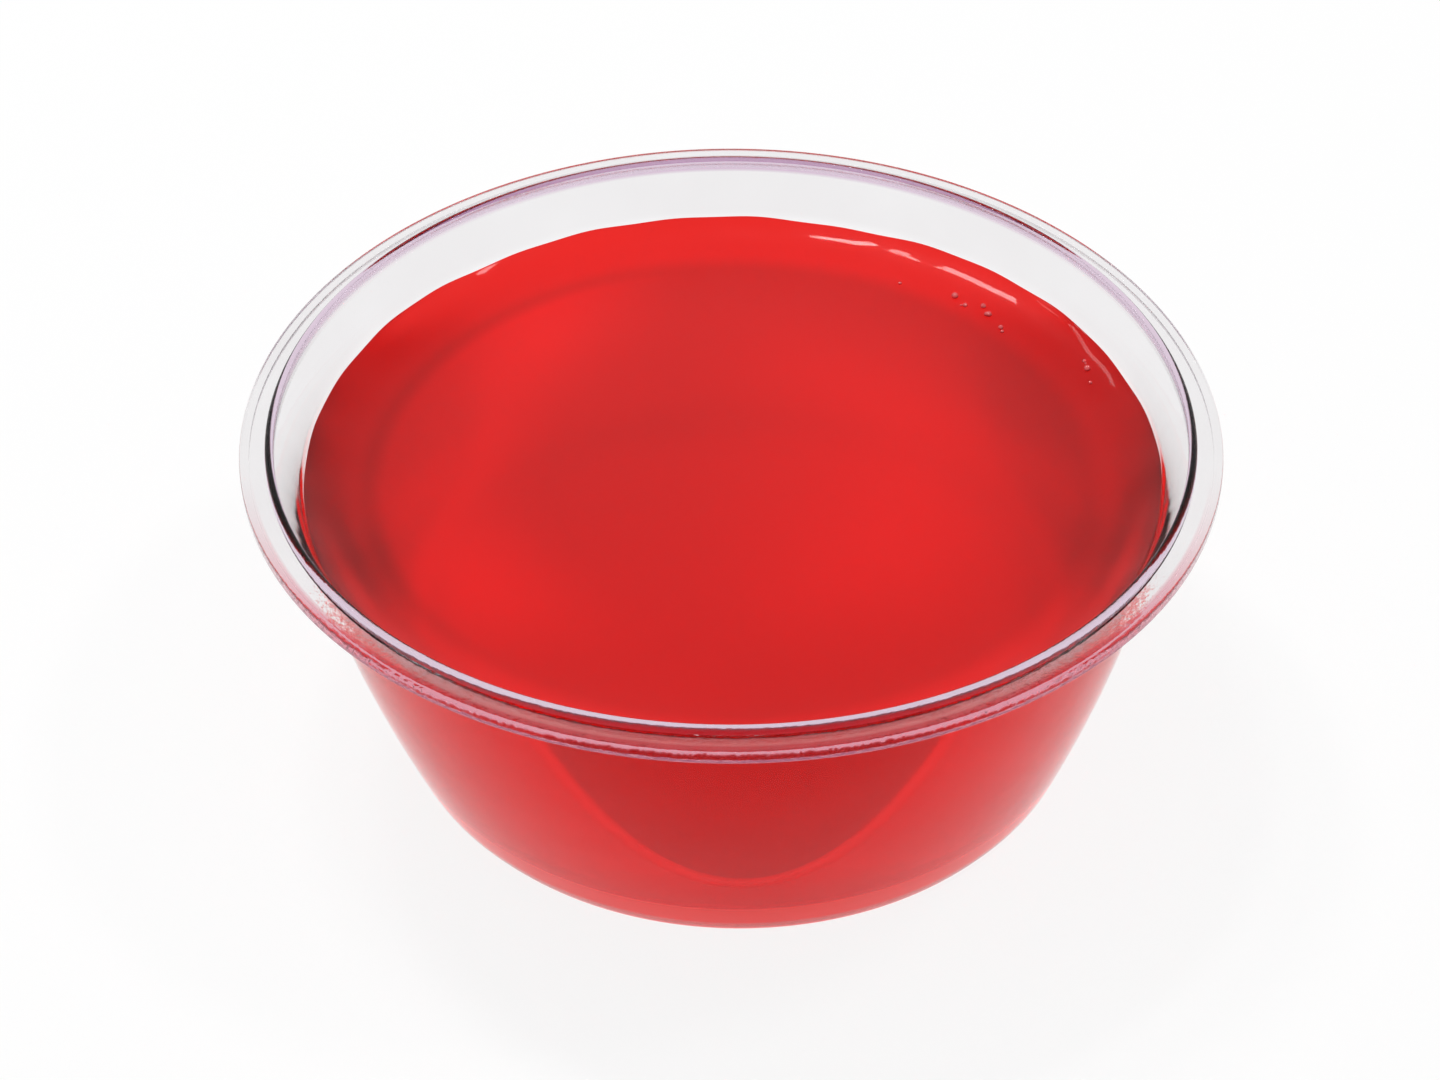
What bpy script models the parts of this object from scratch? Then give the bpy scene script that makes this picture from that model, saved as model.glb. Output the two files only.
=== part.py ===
"""Red jelly set in a small clear plastic cup.

Two separate pieces, each one closed solid turned round the Z axis:
  cup    thin clear sheet: a ring and raised panel for a foot, a bowed wall, a flat lip with a ridge
  jelly  the set jelly that fills the cup, climbing a little where its top meets the wall

The origin is on the axis of the rim, at the height of the ring that the cup rests on.
+Z is up and all lengths are in metres.
"""
import math

import bmesh
import bpy

MM = 0.001
SEGMENTS = 60                   # facets round the axis

# Cup, outside
CUP_HEIGHT = 23.7 * MM          # resting ring to the top of the ridge
RIM_RADIUS = 31.0 * MM          # outer edge of the lip
FOOT_RADIUS = 22.35 * MM        # outside of the wall where it meets the resting ring
SHOULDER_RADIUS = 27.8 * MM     # outside of the wall at the shoulder
SHOULDER_HEIGHT = 20.0 * MM     # where the bowed wall ends and the flare to the lip begins
WALL_BULGE = 0.55 * MM          # how far the wall bows out of a straight cone, halfway up
WALL = 0.5 * MM                 # thickness of the wall

# Cup, foot: the sheet dips into a ring round a raised floor panel, and the jelly fills that ring
PANEL_HEIGHT = 1.5 * MM         # underside of the floor panel above the resting ring
HOLLOW_RADIUS = 20.0 * MM       # hollow under the panel, at the resting ring
HOLLOW_DRAFT = math.radians(12)  # lean of the hollow's side
HOLLOW_CORNER = 0.35 * MM       # fillet where the hollow's side meets the panel
RING_CORNER = 0.35 * MM         # rounding on the inner side of the resting ring
FOOT_CORNER = 0.5 * MM          # rounding on the outer side of the resting ring
CHANNEL_CORNER = 0.45 * MM      # fillets at the bottom of the ring, inside the cup

# Cup, lip
RIDGE_OUTER_RADIUS = 29.36 * MM
RIDGE_WIDTH = 0.54 * MM
RIDGE_HEIGHT = 0.5 * MM         # ridge above the flat of the lip
LIP_THICKNESS = 0.45 * MM
LIP_EDGE_HEIGHT = 0.75 * MM     # outer edge of the lip, which turns down a little
LIP_EDGE_WIDTH = 0.6 * MM
LIP_ROUND = 0.2 * MM            # rounding on the outer edge of the lip

# Jelly
GAP = 0.3 * MM                  # clearance that keeps the two solids apart
FILL_HEIGHT = SHOULDER_HEIGHT   # where the top of the jelly meets the wall
CLIMB = 1.3 * MM                # how far its edge climbs above its middle
CLIMB_REACH = 1.6 * MM          # distance over which that climb fades away

# Thin plastic that has settled a little out of true
LEAN = 0.56 * MM                # the foot stands this far to +X of the rim's axis
SADDLE = 0.24 * MM              # rim up at front and back, and down at the sides

TURN = 2.0 * math.pi
WELD = 0.01 * MM
SHARP_ANGLE = math.radians(40)


def clear_scene():
    for item in list(bpy.data.objects):
        bpy.data.objects.remove(item, do_unlink=True)


def arc(centre, radius, start, end, steps):
    """Points on a circle in the (radius, height) plane, angles in degrees."""
    points = []
    for step in range(steps + 1):
        angle = math.radians(start + (end - start) * step / steps)
        points.append((centre[0] + radius * math.cos(angle), centre[1] + radius * math.sin(angle)))
    return points


def wall_radius(height):
    """Outside radius of the bowed wall: a straight cone plus a parabola that swells it halfway up."""
    share = height / SHOULDER_HEIGHT
    cone = FOOT_RADIUS + (SHOULDER_RADIUS - FOOT_RADIUS) * share
    return cone + 4.0 * WALL_BULGE * share * (1.0 - share)


def wall_line(inset, low, high, steps):
    """The bowed wall moved inwards by inset, from height low to height high."""
    heights = [low + (high - low) * step / steps for step in range(steps + 1)]
    return [(wall_radius(height) - inset, height) for height in heights]


def flare_line(start, end, steps):
    """The wall above the shoulder: it leaves the shoulder steeply and leans out towards the lip."""
    points = []
    for step in range(1, steps + 1):
        share = step / steps
        lean_out = 0.45 * share + 0.55 * share * share
        radius = start[0] + (end[0] - start[0]) * lean_out
        points.append((radius, start[1] + (end[1] - start[1]) * share))
    return points


def inside_line(inset):
    """The inner skin from the shoulder down the wall, through the ring and over the panel to the axis."""
    bottom_corner = WALL + CHANNEL_CORNER - inset
    corner_height = inset + bottom_corner
    hollow_top = HOLLOW_RADIUS - PANEL_HEIGHT * math.tan(HOLLOW_DRAFT)
    points = list(reversed(wall_line(inset, corner_height, SHOULDER_HEIGHT, 6)))
    points += arc((wall_radius(inset) - inset - bottom_corner, corner_height), bottom_corner, -20, -90, 2)
    points += arc((HOLLOW_RADIUS + inset + bottom_corner, corner_height), bottom_corner, -90, -180, 2)
    points += arc((hollow_top - HOLLOW_CORNER, PANEL_HEIGHT - HOLLOW_CORNER), HOLLOW_CORNER + inset, 0, 90, 4)
    points += [(0.0, PANEL_HEIGHT + inset)]
    return points


def cup_profile():
    """Outline of the cup from the axis under the panel, round the outside and back inside."""
    ridge_inner = RIDGE_OUTER_RADIUS - RIDGE_WIDTH
    ridge_round = RIDGE_WIDTH / 2.0
    lip_top = CUP_HEIGHT - RIDGE_HEIGHT
    lip_under = lip_top - LIP_THICKNESS
    edge_bottom = lip_top - LIP_EDGE_HEIGHT
    hollow_top = HOLLOW_RADIUS - PANEL_HEIGHT * math.tan(HOLLOW_DRAFT)
    shoulder_in = (SHOULDER_RADIUS - WALL, SHOULDER_HEIGHT)

    points = [(0.0, PANEL_HEIGHT)]
    points += arc((hollow_top - HOLLOW_CORNER, PANEL_HEIGHT - HOLLOW_CORNER), HOLLOW_CORNER, 90, 0, 3)
    points += arc((HOLLOW_RADIUS + RING_CORNER, RING_CORNER), RING_CORNER, 180, 270, 3)
    points += arc((wall_radius(0.0) - FOOT_CORNER, FOOT_CORNER), FOOT_CORNER, -90, -20, 3)
    points += wall_line(0.0, 2.0 * FOOT_CORNER, SHOULDER_HEIGHT, 7)
    points += flare_line((SHOULDER_RADIUS, SHOULDER_HEIGHT), (ridge_inner + WALL, lip_under), 3)
    points += [(RIM_RADIUS - LIP_EDGE_WIDTH, lip_under), (RIM_RADIUS - LIP_EDGE_WIDTH, edge_bottom)]
    points += arc((RIM_RADIUS - LIP_ROUND, edge_bottom + LIP_ROUND), LIP_ROUND, -90, 0, 2)
    points += arc((RIM_RADIUS - LIP_ROUND, lip_top - LIP_ROUND), LIP_ROUND, 0, 90, 2)
    points += [(RIDGE_OUTER_RADIUS, lip_top)]
    points += arc((ridge_inner + ridge_round, CUP_HEIGHT - ridge_round), ridge_round, 0, 180, 4)
    points += reversed(flare_line(shoulder_in, (ridge_inner, lip_under), 3))
    points += inside_line(WALL)
    return points


def jelly_profile():
    """Outline of the jelly: up from the panel over the ring and the wall, then a top that falls from its edge."""
    inset = WALL + GAP
    edge_radius = wall_radius(FILL_HEIGHT) - inset
    points = list(reversed(inside_line(inset)))
    for reach in (0.15, 0.4, 0.8, 1.4, 2.4, 4.0):
        drop = CLIMB * (1.0 - math.exp(-reach))
        points.append((edge_radius - reach * CLIMB_REACH, FILL_HEIGHT - drop))
    points += [(0.0, FILL_HEIGHT - CLIMB)]
    return points


def settle(point):
    """Lean the foot to +X and give the rim its slight saddle, both fading towards the other end."""
    share = point.z / CUP_HEIGHT
    point.z -= SADDLE * share * share * (point.x * point.x - point.y * point.y) / RIM_RADIUS ** 2
    point.x += LEAN * (1.0 - share)


def turned_piece(name, profile, material):
    """Spin an open profile that starts and ends on the axis into one closed solid."""
    work = bmesh.new()
    verts = [work.verts.new((radius, 0.0, height)) for radius, height in profile]
    edges = [work.edges.new(pair) for pair in zip(verts, verts[1:])]
    bmesh.ops.spin(work, geom=verts + edges, cent=(0, 0, 0), axis=(0, 0, 1), dvec=(0, 0, 0),
                   angle=TURN, steps=SEGMENTS, use_merge=True)
    bmesh.ops.remove_doubles(work, verts=work.verts, dist=WELD)
    for vert in work.verts:
        settle(vert.co)
    bmesh.ops.recalc_face_normals(work, faces=work.faces)
    mesh = bpy.data.meshes.new(name)
    work.to_mesh(mesh)
    work.free()
    mesh.shade_smooth()
    mesh.set_sharp_from_angle(angle=SHARP_ANGLE)
    mesh.materials.append(material)
    piece = bpy.data.objects.new(name, mesh)
    bpy.context.scene.collection.objects.link(piece)
    return piece


def clear_material(name, colour, roughness, ior):
    material = bpy.data.materials.new(name)
    material.use_nodes = True
    shader = material.node_tree.nodes["Principled BSDF"]
    shader.inputs["Base Color"].default_value = (*colour, 1.0)
    shader.inputs["Metallic"].default_value = 0.0
    shader.inputs["Roughness"].default_value = roughness
    shader.inputs["IOR"].default_value = ior
    shader.inputs["Transmission Weight"].default_value = 1.0
    return material


def build():
    clear_scene()
    plastic = clear_material("clear_plastic", (0.97, 0.97, 0.97), 0.02, 1.5)
    red_jelly = clear_material("red_jelly", (0.62, 0.002, 0.002), 0.05, 1.35)
    turned_piece("cup", cup_profile(), plastic)
    turned_piece("jelly", jelly_profile(), red_jelly)


build()
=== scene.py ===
"""Looks of the cup of red jelly: a thin clear cup and the set jelly that fills it.

Both pieces are profiles turned round the Z axis, worked out as whole numpy arrays. Lengths are in metres,
+Z is up, and the origin is on the axis of the rim at the height of the ring that the cup rests on.
"""
import math

import bpy
import numpy as np
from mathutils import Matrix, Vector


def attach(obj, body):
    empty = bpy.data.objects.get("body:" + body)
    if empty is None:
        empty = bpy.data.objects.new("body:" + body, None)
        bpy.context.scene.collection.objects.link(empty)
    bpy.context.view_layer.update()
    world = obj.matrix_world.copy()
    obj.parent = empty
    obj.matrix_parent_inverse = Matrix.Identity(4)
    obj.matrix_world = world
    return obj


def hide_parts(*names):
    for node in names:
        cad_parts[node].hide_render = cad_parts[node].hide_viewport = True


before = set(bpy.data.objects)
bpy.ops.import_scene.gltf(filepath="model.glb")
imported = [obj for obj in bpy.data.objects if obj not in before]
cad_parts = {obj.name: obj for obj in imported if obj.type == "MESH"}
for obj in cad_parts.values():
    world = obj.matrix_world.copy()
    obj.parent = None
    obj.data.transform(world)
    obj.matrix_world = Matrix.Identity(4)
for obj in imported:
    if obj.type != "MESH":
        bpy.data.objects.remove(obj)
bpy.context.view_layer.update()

MM = 0.001

# ---------------------------------------------------------------- sizes

CUP_HEIGHT = 23.7 * MM
RIM_RADIUS = 31.0 * MM
FOOT_RADIUS = 22.35 * MM
SHOULDER_RADIUS = 27.8 * MM
SHOULDER_HEIGHT = 20.0 * MM
WALL_BULGE = 0.55 * MM
WALL = 0.5 * MM

PANEL_HEIGHT = 1.5 * MM
HOLLOW_RADIUS = 20.0 * MM
HOLLOW_DRAFT = math.radians(12)
HOLLOW_CORNER = 0.35 * MM
RING_CORNER = 0.35 * MM
FOOT_CORNER = 0.5 * MM
CHANNEL_CORNER = 0.45 * MM

RIDGE_OUTER_RADIUS = 29.36 * MM
RIDGE_WIDTH = 0.54 * MM
RIDGE_HEIGHT = 0.5 * MM
LIP_THICKNESS = 0.45 * MM
LIP_EDGE_HEIGHT = 0.75 * MM
LIP_EDGE_WIDTH = 0.6 * MM
LIP_ROUND = 0.2 * MM

FILL_HEIGHT = SHOULDER_HEIGHT
CLIMB = 1.3 * MM
CLIMB_REACH = 1.6 * MM
BITE = 0.03 * MM

LEAN = 0.56 * MM
SADDLE = 0.24 * MM

EDGE_WAVES = ((3, 0.10, 0.4), (7, 0.07, 2.1), (13, 0.05, 0.7), (29, 0.035, 1.9))  # count, mm, phase
# The U of painted reflected shadow on the jelly's front wall: its middle across, its lowest point and its
# bend.
REFLECTED_SHADOW_MIDDLE = 0.8 * MM
REFLECTED_SHADOW_LOWEST = 7.0 * MM
REFLECTED_SHADOW_BEND = 90.0          # per metre

TURN = 2.0 * math.pi
SHARP_ANGLE = math.radians(30)
AROUND = 288              # steps round the axis


# ---------------------------------------------------------------- shapes

def arc(centre, radius, start, end, count):
    """Points on a circle: centre plus radius times (cos a, sin a), a running from start to end degrees."""
    angle = np.radians(np.linspace(start, end, count))
    return np.column_stack((centre[0] + radius * np.cos(angle), centre[1] + radius * np.sin(angle)))


def run(start, end, count):
    """Points along a straight run, ends included."""
    share = np.linspace(0.0, 1.0, count)[:, None]
    return np.array(start) * (1.0 - share) + np.array(end) * share


def wall_radius(height):
    """Outside radius of the wall: a straight cone plus a parabola that swells it halfway up."""
    share = height / SHOULDER_HEIGHT
    cone = FOOT_RADIUS + (SHOULDER_RADIUS - FOOT_RADIUS) * share
    return cone + 4.0 * WALL_BULGE * share * (1.0 - share)


def wall_line(inset, low, high, count):
    """The bowed wall moved inwards by inset, from height low to height high."""
    height = np.linspace(low, high, count)
    return np.column_stack((wall_radius(height) - inset, height))


def flare_line(start, end, count):
    """The wall above the shoulder: radius grows as 0.45 s + 0.55 s squared while height grows as s."""
    share = np.linspace(0.0, 1.0, count)
    lean_out = 0.45 * share + 0.55 * share * share
    radius = start[0] + (end[0] - start[0]) * lean_out
    return np.column_stack((radius, start[1] + (end[1] - start[1]) * share))


def inside_line(inset):
    """The inner skin: from the shoulder down the wall, through the foot's ring and over the panel."""
    bottom_corner = WALL + CHANNEL_CORNER - inset
    corner_height = inset + bottom_corner
    hollow_top = HOLLOW_RADIUS - PANEL_HEIGHT * math.tan(HOLLOW_DRAFT)
    return np.vstack((
        wall_line(inset, corner_height, SHOULDER_HEIGHT, 36)[::-1],
        arc((wall_radius(inset) - inset - bottom_corner, corner_height), bottom_corner, -18, -90, 8),
        arc((HOLLOW_RADIUS + inset + bottom_corner, corner_height), bottom_corner, -90, -180, 8),
        arc((hollow_top - HOLLOW_CORNER, PANEL_HEIGHT - HOLLOW_CORNER), HOLLOW_CORNER + inset, 0, 90, 10),
        run((hollow_top - HOLLOW_CORNER, PANEL_HEIGHT + inset), (0.0, PANEL_HEIGHT + inset), 12)[1:],
    ))


def cup_outline():
    """Outline of the cup from the axis under its panel, round the outside and back inside to the axis."""
    ridge_inner = RIDGE_OUTER_RADIUS - RIDGE_WIDTH
    ridge_round = RIDGE_WIDTH / 2.0
    lip_top = CUP_HEIGHT - RIDGE_HEIGHT
    lip_under = lip_top - LIP_THICKNESS
    edge_bottom = lip_top - LIP_EDGE_HEIGHT
    edge_inner = RIM_RADIUS - LIP_EDGE_WIDTH
    hollow_top = HOLLOW_RADIUS - PANEL_HEIGHT * math.tan(HOLLOW_DRAFT)
    return np.vstack((
        run((0.0, PANEL_HEIGHT), (hollow_top - HOLLOW_CORNER, PANEL_HEIGHT), 12)[:-1],
        arc((hollow_top - HOLLOW_CORNER, PANEL_HEIGHT - HOLLOW_CORNER), HOLLOW_CORNER, 90, 0, 7),
        arc((HOLLOW_RADIUS + RING_CORNER, RING_CORNER), RING_CORNER, 180, 270, 7),
        arc((wall_radius(0.0) - FOOT_CORNER, FOOT_CORNER), FOOT_CORNER, -90, -18, 7),
        wall_line(0.0, 1.6 * FOOT_CORNER, SHOULDER_HEIGHT, 30)[:-1],
        flare_line((SHOULDER_RADIUS, SHOULDER_HEIGHT), (ridge_inner + WALL, lip_under), 10),
        [(edge_inner, lip_under)],
        [(edge_inner, edge_bottom)],
        arc((RIM_RADIUS - LIP_ROUND, edge_bottom + LIP_ROUND), LIP_ROUND, -90, 0, 5),
        arc((RIM_RADIUS - LIP_ROUND, lip_top - LIP_ROUND), LIP_ROUND, 0, 90, 5),
        [(RIDGE_OUTER_RADIUS, lip_top)],
        arc((ridge_inner + ridge_round, CUP_HEIGHT - ridge_round), ridge_round, 0, 180, 9),
        flare_line((SHOULDER_RADIUS - WALL, SHOULDER_HEIGHT), (ridge_inner, lip_under), 10)[:0:-1],
        inside_line(WALL),
    ))


def jelly_outline():
    """Outline of the jelly: panel, ring and wall, then a top that falls from its edge as exp(-distance)."""
    inset = WALL - BITE
    edge = wall_radius(FILL_HEIGHT) - inset
    reach = np.linspace(0.0, 1.0, 70) ** 2
    radius = edge * (1.0 - reach)
    height = FILL_HEIGHT - CLIMB * (1.0 - np.exp((radius - edge) / CLIMB_REACH))
    return np.vstack((inside_line(inset)[::-1], np.column_stack((radius, height))[1:]))


def settle(place):
    """Leans the foot to +X and lowers the rim by the saddle times (x squared - y squared)."""
    share = place[..., 2] / CUP_HEIGHT
    across, along = place[..., 0] / RIM_RADIUS, place[..., 1] / RIM_RADIUS
    place[..., 2] -= SADDLE * share * share * (across * across - along * along)
    place[..., 0] += LEAN * (1.0 - share)
    return place


def turned(name, outline, segments, relief=None):
    """A closed solid: point (i, j) is outline point j turned by angle i, and both ends lie on the axis."""
    angle = np.linspace(0.0, TURN, segments, endpoint=False)[:, None]
    ring = outline[1:-1]
    grid = np.stack((ring[:, 0] * np.cos(angle), ring[:, 0] * np.sin(angle),
                     np.broadcast_to(ring[:, 1], (segments, len(ring)))), axis=-1)
    if relief is not None:
        grid = relief(grid)
    ends = np.array(((0.0, 0.0, outline[0, 1]), (0.0, 0.0, grid[:, -1, 2].mean())))
    verts = np.vstack((settle(grid).reshape(-1, 3), settle(ends)))
    index = np.arange(segments * len(ring)).reshape(segments, len(ring))
    after = np.roll(index, -1, axis=0)
    quads = np.stack((index[:, :-1], after[:, :-1], after[:, 1:], index[:, 1:]), axis=-1).reshape(-1, 4)
    first = np.column_stack((np.full(segments, len(verts) - 2), after[:, 0], index[:, 0]))
    last = np.column_stack((np.full(segments, len(verts) - 1), index[:, -1], after[:, -1]))
    mesh = bpy.data.meshes.new(name)
    mesh.from_pydata(verts.tolist(), [], quads.tolist() + first.tolist() + last.tolist())
    mesh.shade_smooth()
    mesh.set_sharp_from_angle(angle=SHARP_ANGLE)
    piece = bpy.data.objects.new(name, mesh)
    bpy.context.scene.collection.objects.link(piece)
    return piece


# ---------------------------------------------------------------- materials

class Field:
    """A number that changes over a surface: the arithmetic below adds Math nodes to its tree."""

    def __init__(self, paint, socket):
        self.paint = paint
        self.socket = socket

    def math(self, operation, *others, swap=False):
        values = [self, *others]
        if swap:
            values.reverse()
        return self.paint.node("ShaderNodeMath", {"operation": operation}, dict(enumerate(values)))

    def __add__(self, other):
        return self.math("ADD", other)

    def __sub__(self, other):
        return self.math("SUBTRACT", other)

    def __mul__(self, other):
        return self.math("MULTIPLY", other)

    def __truediv__(self, other):
        return self.math("DIVIDE", other)

    def __radd__(self, other):
        return self.math("ADD", other)

    def __rsub__(self, other):
        return self.math("SUBTRACT", other, swap=True)

    def __rmul__(self, other):
        return self.math("MULTIPLY", other)

    def __neg__(self):
        return self.math("MULTIPLY", -1.0)

    def clamp(self):
        return self.paint.node("ShaderNodeClamp", {}, {"Value": self})

    def ramp(self, low, high):
        """0 below low, 1 above high and soft in between; low may be the greater of the two."""
        return self.paint.node("ShaderNodeMapRange", {"interpolation_type": "SMOOTHSTEP"},
                               {"Value": self, "From Min": low, "From Max": high})

    def root(self):
        return self.math("SQRT")


class Paint:
    """A material or world being put together: node() adds any node from its type, settings and inputs."""

    def __init__(self, owner, output="ShaderNodeOutputMaterial"):
        self.owner = owner
        owner.use_nodes = True
        self.tree = owner.node_tree
        self.tree.nodes.clear()
        self.out = self.tree.nodes.new(output)

    def node(self, kind, settings, inputs, output=0):
        node = self.tree.nodes.new(kind)
        for key, value in settings.items():
            setattr(node, key, value)
        for key, value in inputs.items():
            if isinstance(value, Field):
                self.tree.links.new(value.socket, node.inputs[key])
            else:
                node.inputs[key].default_value = value
        return Field(self, node.outputs[output])

    def place(self):
        """Object coordinates, in metres from the piece's origin."""
        return self.node("ShaderNodeTexCoord", {}, {}, output="Object")

    def split(self, place):
        """The x, y and z of a vector, as three numbers."""
        parts = self.node("ShaderNodeSeparateXYZ", {}, {"Vector": place})
        return [Field(self, socket) for socket in parts.socket.node.outputs]

    def noise(self, place, size, detail=2.0):
        """Soft lumps about size metres across, from 0 to 1."""
        return self.node("ShaderNodeTexNoise", {}, {"Vector": place, "Scale": 1.0 / size, "Detail": detail})

    def mix(self, factor, low, high):
        """Colour that runs from low at factor 0 to high at factor 1."""
        inputs = {"Factor": factor, 6: low, 7: high}
        return self.node("ShaderNodeMix", {"data_type": "RGBA"}, inputs, output=2)

    def ray(self, kind):
        """1 for rays of one kind, such as Is Camera Ray, and 0 for the rest."""
        return self.node("ShaderNodeLightPath", {}, {}, output=kind)

    def seen(self):
        """1 for rays that show a thing straight, mirrored or through glass, and 0 for the rest."""
        kinds = ("Is Camera Ray", "Is Glossy Ray", "Is Transmission Ray")
        return sum(self.ray(kind) for kind in kinds).clamp()

    def blend(self, factor, low, high):
        """Number that runs from low at factor 0 to high at factor 1."""
        return self.node("ShaderNodeMix", {"data_type": "FLOAT"}, {"Factor": factor, "A": low, "B": high})

    def finish(self, surface, volume=None):
        self.tree.links.new(surface.socket, self.out.inputs["Surface"])
        if volume is not None:
            self.tree.links.new(volume.socket, self.out.inputs["Volume"])
        return self.owner


def linear(red, green, blue):
    """An sRGB colour given from 0 to 255 as the linear colour that a shader takes."""
    value = np.array((red, green, blue)) / 255.0
    value = np.where(value <= 0.04045, value / 12.92, ((value + 0.055) / 1.055) ** 2.4)
    return (*value.tolist(), 1.0)


def clear_plastic():
    """Clear sheet with faint ripples, and a lip whose flat is finely crinkled, most of all at the front."""
    paint = Paint(bpy.data.materials.new("clear_plastic"))
    place = paint.place()
    x, y, z = paint.split(place)
    radius = (x * x + y * y).root()
    cloud = paint.noise(place, 6.0 * MM)
    ripple = paint.noise(place, 3.0 * MM, detail=1.0)
    crinkle = paint.noise(place, 0.45 * MM, detail=2.0)
    ridge_outer, ridge_inner = RIDGE_OUTER_RADIUS, RIDGE_OUTER_RADIUS - RIDGE_WIDTH
    lip = radius.ramp(ridge_inner, ridge_outer)
    front = (-y).ramp(4.0 * MM, 24.0 * MM)
    soft = 0.05 * MM
    # Painted light: the clear ridge is tinted lavender all round, standing in for the jelly's red light seen
    # through it.
    ridge = radius.ramp(ridge_inner - soft, ridge_inner) * radius.ramp(ridge_outer + soft, ridge_outer)
    ridge = ridge * z.ramp(CUP_HEIGHT - 2.0 * RIDGE_HEIGHT, CUP_HEIGHT - RIDGE_HEIGHT)
    above_jelly = z.ramp(FILL_HEIGHT - 0.5 * MM, FILL_HEIGHT + 0.5 * MM)
    # Painted light: a pink strip along the lip's outer edge at the front stands in for the jelly's red light
    # seen in it.
    edge = radius.ramp(RIM_RADIUS - 0.80 * MM, RIM_RADIUS - 0.65 * MM) * front
    sheet = paint.mix(cloud, linear(254, 254, 254), linear(250, 249, 250))
    # Painted shade: the clear sheet above the jelly is greyer.
    shaded_sheet = paint.mix(cloud, linear(243, 242, 243), linear(236, 234, 235))
    sheet = paint.mix(above_jelly, sheet, shaded_sheet)
    sheet = paint.mix(edge, sheet, linear(225, 150, 165))
    height = ripple + crinkle * lip * (0.3 + 3.7 * front)
    bump = paint.node("ShaderNodeBump", {}, {"Strength": 0.3, "Distance": 0.06 * MM, "Height": height})
    shader = paint.node("ShaderNodeBsdfPrincipled", {}, {
        "Base Color": paint.mix(0.8 * ridge, sheet, linear(195, 150, 190)),
        "Roughness": 0.02 + 0.03 * cloud + 0.12 * lip,
        "IOR": 1.3,
        "Transmission Weight": 1.0,
        "Specular Tint": (0.0, 0.0, 0.0, 1.0),
        "Normal": bump,
    })
    return paint.finish(shader)


def glow_on_top(x, y):
    """How much light comes up through the top: more in a broad crescent on the left and towards the right."""
    distance = (x * x + y * y).root()
    crescent = distance.ramp(11.0 * MM, 21.0 * MM) * distance.ramp(23.5 * MM, 22.0 * MM)
    crescent = crescent * (-x).ramp(2.0 * MM, 14.0 * MM) * (-y).ramp(20.0 * MM, 8.0 * MM)
    right = x.ramp(-5.0 * MM, 15.0 * MM) * distance.ramp(22.0 * MM, 10.0 * MM)
    rim = distance.ramp(22.5 * MM, 24.5 * MM)
    return (0.3 + 0.6 * crescent + 0.5 * right + 0.4 * rim).clamp()


def reflected_shadow_on_wall(x, z):
    """Distance into a U of painted reflected shadow on the front wall, whose line is height = lowest point +
    bend times x squared.
    """
    across = x - REFLECTED_SHADOW_MIDDLE
    curve = REFLECTED_SHADOW_LOWEST + REFLECTED_SHADOW_BEND * across * across
    steep = 2.0 * REFLECTED_SHADOW_BEND * across
    return (z - curve) / (1.0 + steep * steep).root()


def glinting_bubble_skin():
    """The film of jelly over a tiny air bubble, in a pale pink that is a painted glint, so that the bubbles
    show as bright specks.
    """
    paint = Paint(bpy.data.materials.new("glinting_bubble_skin"))
    cloud = paint.noise(paint.place(), 0.5 * MM)
    shader = paint.node("ShaderNodeBsdfPrincipled", {}, {
        "Base Color": paint.mix(cloud, linear(255, 120, 125), linear(250, 70, 75)),
        "Roughness": 0.03 + 0.05 * cloud,
        "IOR": 1.35,
        "Transmission Weight": 0.5,
        "Coat Weight": 1.0,
        "Coat Roughness": 0.03,
    })
    return paint.finish(shader)


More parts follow.
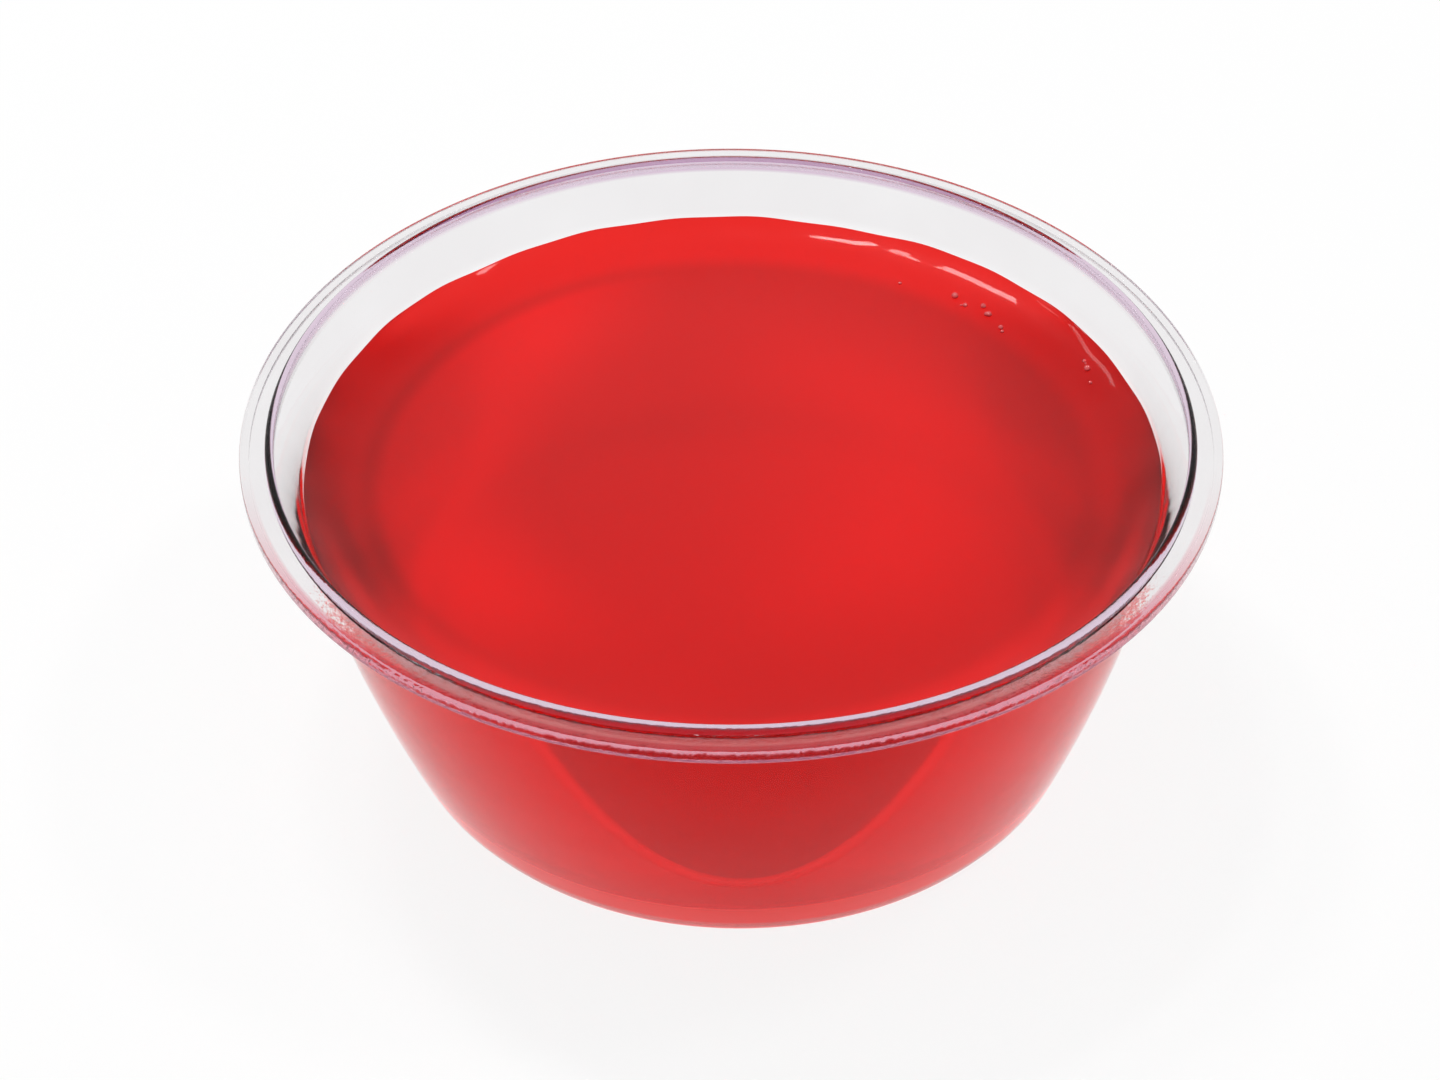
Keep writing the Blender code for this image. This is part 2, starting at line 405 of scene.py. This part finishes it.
def red_jelly():
    paint = Paint(bpy.data.materials.new("red_jelly"))
    place = paint.place()
    x, y, z = paint.split(place)
    cloud = paint.noise(place, 14.0 * MM)
    ripple = paint.noise(place, 5.0 * MM, detail=1.0)
    facing = paint.node("ShaderNodeTexCoord", {}, {}, output="Normal")
    top = paint.split(facing)[2].ramp(0.2, 0.5) * z.ramp(0.7 * FILL_HEIGHT, 0.8 * FILL_HEIGHT)
    front = (-y).ramp(12.0 * MM, 16.0 * MM) * (1.0 - top)
    # Painted reflection of the cup's shadow on the floor. The front wall is darker inside a U and a little
    # darker outside it, except for a painted bright band along the U's edge. That band also gets a slight
    # bump.
    inside = reflected_shadow_on_wall(x, z)
    painted_shadow = inside.ramp(-0.1 * MM, 0.1 * MM)
    shadow_edge_band = inside.ramp(-1.2 * MM, -0.7 * MM) * inside.ramp(0.1 * MM, -0.4 * MM)
    wall_light = 1.0 - front * (0.80 * painted_shadow + 0.25 * (1.0 - shadow_edge_band) * (1.0 - painted_shadow))
    # The jelly's colour holds painted light and shade. It runs from a shaded dark red to a lit red, following
    # the painted light on the walls and the painted glow on the top, with a little random variation. The lit
    # red is pinker on the walls.
    light = paint.blend(top, wall_light, glow_on_top(x, y)) - 0.12 * cloud + 0.06
    bright = paint.mix(top, linear(255, 70, 66), linear(255, 22, 20))
    height = 0.4 * ripple + 1.5 * front * shadow_edge_band
    bump = paint.node("ShaderNodeBump", {}, {"Strength": 0.3, "Distance": 0.1 * MM, "Height": height})
    shader = paint.node("ShaderNodeBsdfPrincipled", {}, {
        "Base Color": paint.mix(light.clamp(), linear(150, 22, 18), bright),
        "Roughness": 0.04 + 0.04 * cloud + 0.32 * top + 0.12 * z.ramp(3.0 * MM, 2.2 * MM),
        "IOR": 1.35,
        "Transmission Weight": 1.0,
        "Coat Weight": 0.25 * top,
        "Coat Roughness": 0.03,
        "Coat IOR": 1.35,
        "Specular Tint": (0.0, 0.0, 0.0, 1.0),
        "Normal": bump,
    })
    absorb = paint.node("ShaderNodeVolumeAbsorption", {}, {"Color": (0.995, 0.0, 0.0, 1.0), "Density": 200.0})
    return paint.finish(shader, absorb)


# ---------------------------------------------------------------- pieces

def add_cup():
    piece = turned("cup_shell", cup_outline(), AROUND)
    piece.data.materials.append(clear_plastic())
    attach(piece, "root")
    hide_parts("cup")


def uneven_edge(grid):
    """Lifts the jelly's edge by a sum of sines of the angle, fading down the wall and inwards."""
    angle = np.arctan2(grid[..., 1], grid[..., 0])
    lift = sum(size * np.sin(count * angle + phase) for count, size, phase in EDGE_WAVES) * MM
    radius = np.hypot(grid[..., 0], grid[..., 1])
    height = grid[..., 2]
    edge = wall_radius(FILL_HEIGHT) - WALL
    low = 0.8 * FILL_HEIGHT
    on_wall = wall_radius(height) - WALL - radius < 0.01 * MM
    down_wall = np.clip((height - low) / (FILL_HEIGHT - low), 0.0, 1.0)
    inwards = np.exp((radius - edge) / CLIMB_REACH) * (height > low)
    rise = lift * np.where(on_wall, down_wall, inwards)
    outwards = np.where(on_wall, (wall_radius(height + rise) - wall_radius(height)) / radius, 0.0)
    grid[..., :2] *= 1.0 + outwards[..., None]
    grid[..., 2] += rise
    return grid


def add_jelly():
    piece = turned("jelly_fill", jelly_outline(), AROUND, uneven_edge)
    piece.data.materials.append(red_jelly())
    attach(piece, "root")
    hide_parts("jelly")


def add_bubbles():
    """Tiny bubbles in the edge: a point is centre + radius times (cos u sin v, sin u sin v, cos v)."""
    random = np.random.default_rng(7)
    groups = ((9, 49.0, 9.0, 24.6), (4, 24.0, 4.0, 26.0))  # count, angle, spread, radius
    angle = np.concatenate([random.normal(middle, spread, count) for count, middle, spread, _ in groups])
    angle = np.radians(angle)
    away = np.concatenate([random.normal(out, 0.4, count) for count, _, _, out in groups]) * MM
    size = random.uniform(0.09, 0.26, len(angle)) * MM
    edge = wall_radius(FILL_HEIGHT) - WALL
    away = np.minimum(away, edge - 2.0 * size)
    height = FILL_HEIGHT - CLIMB * (1.0 - np.exp((away - edge) / CLIMB_REACH)) + 0.2 * size
    centre = settle(np.column_stack((away * np.cos(angle), away * np.sin(angle), height)))
    rings, sides = 9, 16
    down = np.linspace(0.0, math.pi, rings + 2)[1:-1, None]
    turn = np.linspace(0.0, TURN, sides, endpoint=False)[None, :]
    upright = np.cos(down) + 0.0 * turn
    ball = np.stack((np.cos(turn) * np.sin(down), np.sin(turn) * np.sin(down), upright), axis=-1)
    ball = np.vstack((ball.reshape(-1, 3), ((0.0, 0.0, 1.0), (0.0, 0.0, -1.0))))
    index = np.arange(rings * sides).reshape(rings, sides)
    after = np.roll(index, -1, axis=1)
    quads = np.stack((index[:-1], index[1:], after[1:], after[:-1]), axis=-1).reshape(-1, 4)
    top = np.column_stack((np.full(sides, rings * sides), index[0], after[0]))
    base = np.column_stack((np.full(sides, rings * sides + 1), after[-1], index[-1]))
    verts = centre[:, None, :] + size[:, None, None] * ball
    step = (np.arange(len(angle)) * len(ball))[:, None, None]
    faces = [row for part in (quads, top, base) for row in (part + step).reshape(-1, part.shape[1]).tolist()]
    mesh = bpy.data.meshes.new("bubbles")
    mesh.from_pydata(verts.reshape(-1, 3).tolist(), [], faces)
    mesh.shade_smooth()
    piece = bpy.data.objects.new("bubbles", mesh)
    bpy.context.scene.collection.objects.link(piece)
    piece.data.materials.append(glinting_bubble_skin())
    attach(piece, "root")


# ---------------------------------------------------------------- stage, light and camera

SURROUND = 0.35     # how bright the studio is for light that falls on the object; seen, it is white
FLOOR_GLOW = 0.88   # share of the floor that is white wherever it is seen; the rest takes the shadow
BOUNCES = 24        # enough for light to get through the sheet, the jelly and the sheet again
LAMP_DISTANCE = 0.8
ELEVATION = math.radians(39.83)
CAMERA_DISTANCE = 7.0 * RIM_RADIUS
AIM_HEIGHT = 13.3 * MM


def add_floor():
    half = 3.0
    drop = -0.0002
    mesh = bpy.data.meshes.new("floor")
    mesh.from_pydata([(-half, -half, drop), (half, -half, drop), (half, half, drop), (-half, half, drop)],
                     [], [(0, 1, 2, 3)])
    floor = bpy.data.objects.new("floor", mesh)
    bpy.context.scene.collection.objects.link(floor)
    paint = Paint(bpy.data.materials.new("pale_floor"))
    lit = paint.node("ShaderNodeBsdfDiffuse", {}, {"Color": (0.85, 0.85, 0.85, 1.0)})
    glow = paint.node("ShaderNodeEmission", {}, {"Color": (1.0, 1.0, 1.0, 1.0), "Strength": 1.0})
    white = paint.node("ShaderNodeMixShader", {}, {"Fac": FLOOR_GLOW * paint.seen(), 1: lit, 2: glow})
    floor.data.materials.append(paint.finish(white))


def add_world():
    world = bpy.data.worlds.new("studio")
    bpy.context.scene.world = world
    paint = Paint(world, "ShaderNodeOutputWorld")
    strength = paint.blend(paint.seen(), SURROUND, 1.0)
    inputs = {"Color": (1.0, 1.0, 1.0, 1.0), "Strength": strength}
    paint.finish(paint.node("ShaderNodeBackground", {}, inputs))


def add_lamp(name, direction, size, watts):
    """A white lamp aimed at the origin, which isn't seen through the plastic or the jelly."""
    light = bpy.data.lights.new(name, "AREA")
    light.energy = watts
    light.shape = "RECTANGLE"
    light.size, light.size_y = size
    aim = Vector(direction).normalized()
    lamp = bpy.data.objects.new(name, light)
    lamp.location = LAMP_DISTANCE * aim
    lamp.rotation_euler = aim.to_track_quat("Z", "Y").to_euler()
    lamp.visible_transmission = False
    bpy.context.scene.collection.objects.link(lamp)


def add_camera():
    target = Vector((0.0, 0.0, AIM_HEIGHT))
    away = Vector((0.0, -math.cos(ELEVATION), math.sin(ELEVATION)))
    data = bpy.data.cameras.new("camera")
    data.lens = 83.2
    data.sensor_width = 36.0
    data.shift_x = -0.0076
    data.clip_start = 0.01
    camera = bpy.data.objects.new("camera", data)
    camera.location = target + CAMERA_DISTANCE * away
    camera.rotation_euler = (math.pi / 2.0 - ELEVATION, 0.0, 0.0)
    bpy.context.scene.collection.objects.link(camera)
    bpy.context.scene.camera = camera


def set_view():
    scene = bpy.context.scene
    scene.view_settings.view_transform = "Standard"
    scene.cycles.max_bounces = BOUNCES
    scene.cycles.transmission_bounces = BOUNCES


add_cup()
add_jelly()
add_bubbles()
add_floor()
add_world()
add_lamp("lamp_above", (-0.16, 0.22, 0.96), (0.13, 0.06), 1.5)
add_lamp("lamp_above_left", (-0.33, 0.30, 0.89), (0.10, 0.14), 2.0)
add_lamp("strip_left", (-0.56, 0.42, 0.72), (0.34, 0.04), 0.5)
add_lamp("lamp_right", (0.52, 0.06, 0.86), (0.14, 0.08), 1.4)
add_camera()
set_view()
